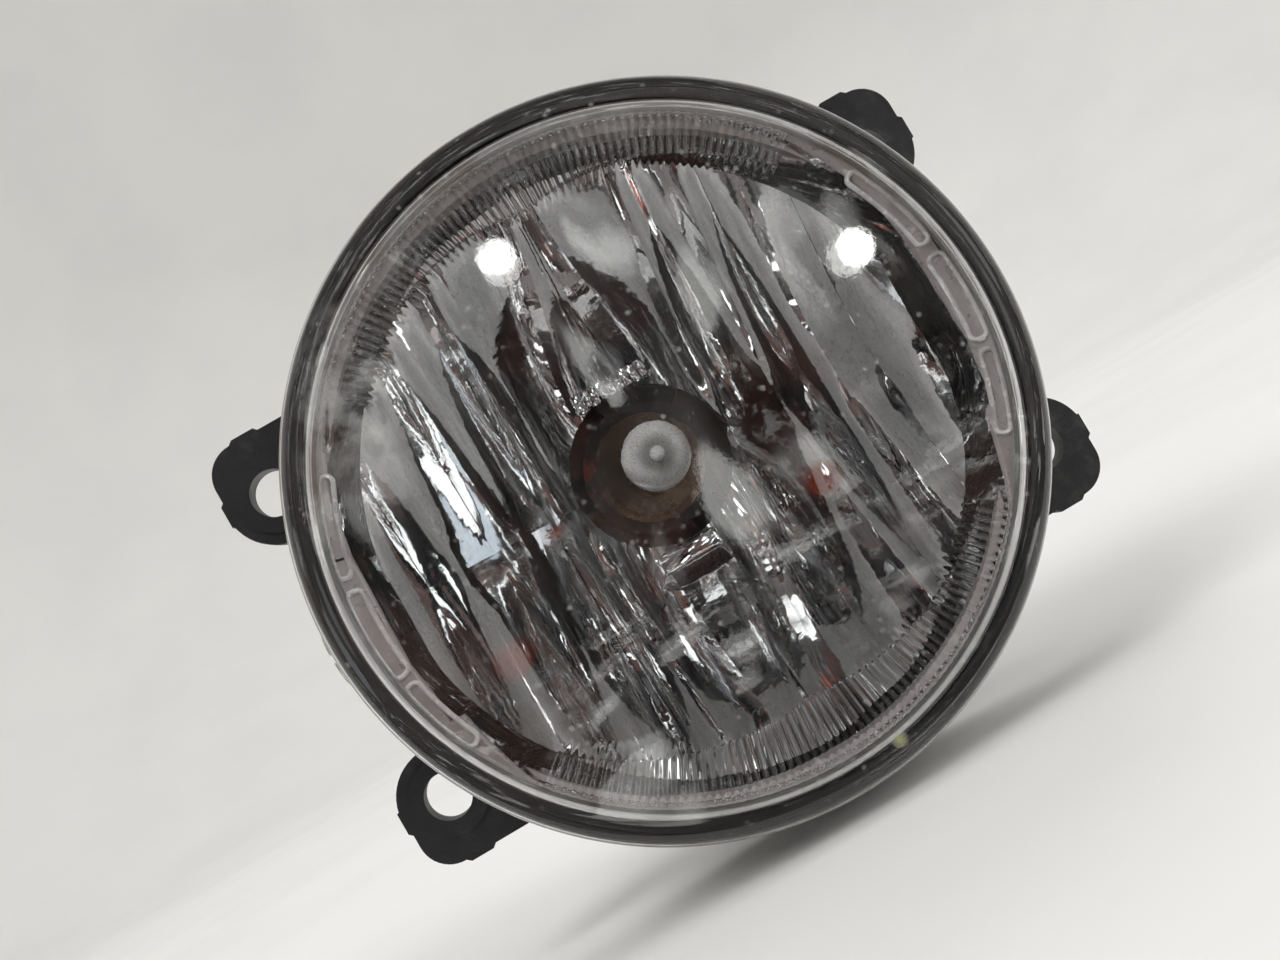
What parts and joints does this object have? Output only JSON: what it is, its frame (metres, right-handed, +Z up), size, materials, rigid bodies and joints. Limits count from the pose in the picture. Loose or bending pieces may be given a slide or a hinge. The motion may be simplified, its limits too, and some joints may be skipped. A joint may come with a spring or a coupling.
{
  "type": "fog light",
  "caption": "Round front fog lamp: clear domed lens and aluminised reflector on a tilting housing in an eared bracket, with an adjuster and twist-lock bulb.",
  "frame": {"origin": "middle of the four ear holes, in the plane of the ears' front seating pads", "axes": "+Z up as installed, -Y is the way the lens faces, +X to the right seen from the front"},
  "size_m": [0.105, 0.075, 0.0945],
  "materials": {
    "bracket_plastic": "fine grained moulding",
    "bush_plastic": "natural acetal",
    "clear_lens": "clear with scratches and haze",
    "seal_rubber": "matt",
    "reflector_mirror": "vacuum aluminised",
    "housing_plastic": "moulded",
    "collar_steel": "stamped",
    "pin_steel": "zinc plated",
    "vent_rubber": "matt",
    "vent_cloth": "felted",
    "screw_steel": "zinc plated",
    "bulb_plastic": "glass filled",
    "o_ring_rubber": "silicone",
    "cup_steel": "drawn",
    "bulb_glass": "clear with a coated tip",
    "filament_metal": "tungsten",
    "wire_metal": "molybdenum",
    "terminal_brass": "tinned",
    "adjuster_plastic": "natural nylon"
  },
  "bodies": {
    "bracket": {"mounting_bracket": "bracket_plastic", "pivot_bush_left": "bush_plastic", "pivot_bush_right": "bush_plastic", "adjuster_bush": "bush_plastic"},
    "lamp_unit": {"front_lens": "clear_lens", "lens_seal": "seal_rubber", "reflector": "reflector_mirror", "rear_housing": "housing_plastic", "bulb_collar": "collar_steel", "pivot_pin_left": "pin_steel", "pivot_pin_right": "pin_steel", "adjuster_nut": "bush_plastic", "vent_cap": "vent_rubber", "vent_membrane": "vent_cloth", "reflector_screws": "screw_steel"},
    "bulb": {"bulb_base": "bulb_plastic", "bulb_o_ring": "o_ring_rubber", "bulb_metal_cup": "cup_steel", "bulb_glass": "bulb_glass", "bulb_filament": "filament_metal", "bulb_support_wires": "wire_metal", "bulb_terminals": "terminal_brass", "bulb_connector_shell": "bulb_plastic"},
    "adjuster": {"adjuster_screw": "adjuster_plastic", "adjuster_clip": "pin_steel", "adjuster_knob": "adjuster_plastic"}
  },
  "joints": [
    {"name": "aim_tilt", "type": "hinge", "parent": "bracket", "child": "lamp_unit", "pos_m": [0, 0.002, 0], "axis": [1, 0, 0], "range_deg": [-3, 3]},
    {"name": "adjuster_turn", "type": "hinge", "parent": "bracket", "child": "adjuster", "pos_m": [0, 0.025, 0.036], "axis": [0, 1, 0], "range_deg": [-455, 455]},
    {"name": "bulb_twist", "type": "hinge", "parent": "lamp_unit", "child": "bulb", "pos_m": [0, 0.025, 0.0015], "axis": [0, 1, 0], "range_deg": [0, 35]}
  ],
  "couplings": [
    {"joint": "adjuster_turn", "follows": "aim_tilt", "ratio": 150.8}
  ]
}
